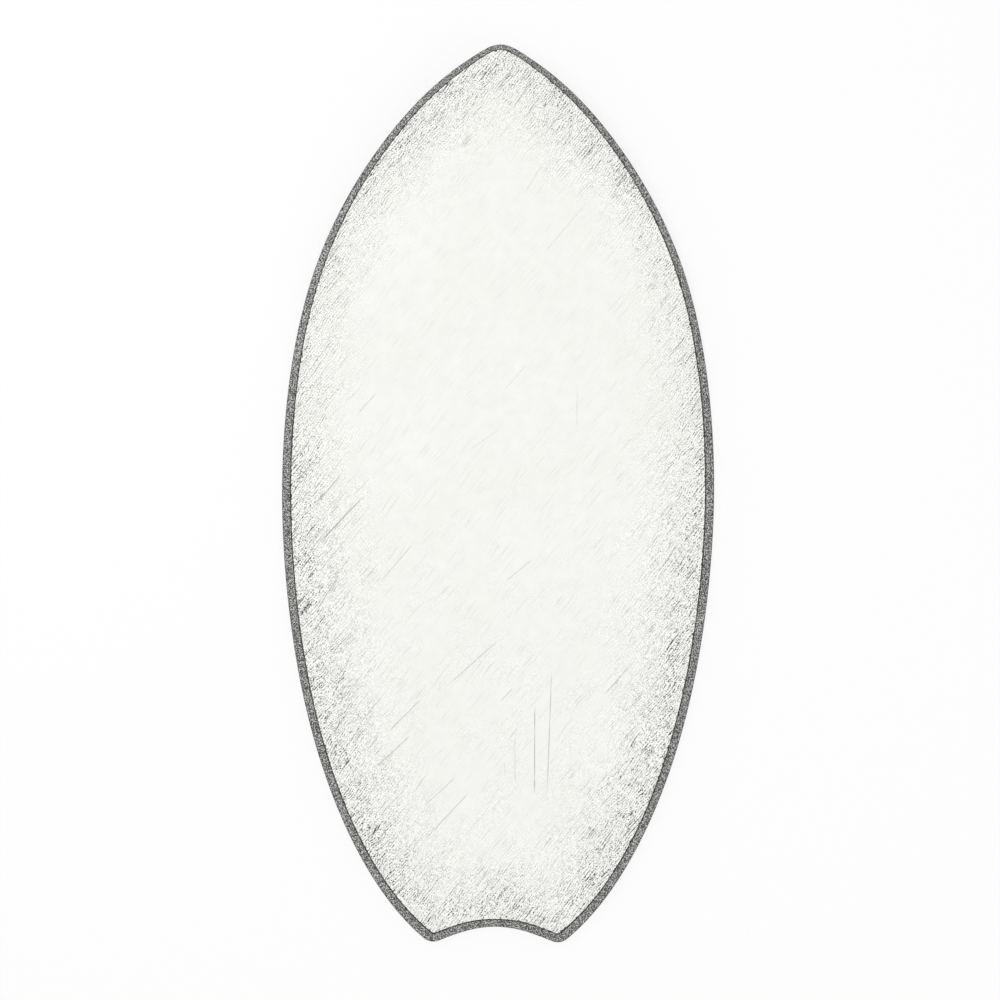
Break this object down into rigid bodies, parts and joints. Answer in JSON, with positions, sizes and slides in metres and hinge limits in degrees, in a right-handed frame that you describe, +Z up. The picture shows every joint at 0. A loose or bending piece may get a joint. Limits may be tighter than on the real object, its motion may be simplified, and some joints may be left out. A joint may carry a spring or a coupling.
{
  "type": "skimboard",
  "caption": "Flat composite skimboard with a pointed, gently raised nose, a hollowed tail, an off-white deck and a grey bevelled rail all round.",
  "frame": {"origin": "on the flat underside, halfway along and halfway across the board", "axes": "+Z up out of the deck, +Y towards the nose, +X towards starboard"},
  "size_m": [0.502, 1.0411, 0.0533],
  "materials": {
    "deck_gel_coat": "matte, lightly scuffed",
    "bottom_gel_coat": "gloss",
    "glass_laminate": "cured cloth and resin",
    "foam": "closed-cell foam",
    "rail": "matte, coarse stipple"
  },
  "bodies": {
    "root": {"bottom_gel_coat": "bottom_gel_coat", "bottom_outer_glass": "glass_laminate", "bottom_inner_glass": "glass_laminate", "foam_core": "foam", "nose_patch": "glass_laminate", "tail_patch": "glass_laminate", "deck_foot_patch": "glass_laminate", "port_rail": "rail", "starboard_rail": "rail", "tail_rail": "rail", "deck_inner_glass": "glass_laminate", "deck_outer_glass": "glass_laminate", "deck_gel_coat": "deck_gel_coat"}
  },
  "joints": []
}
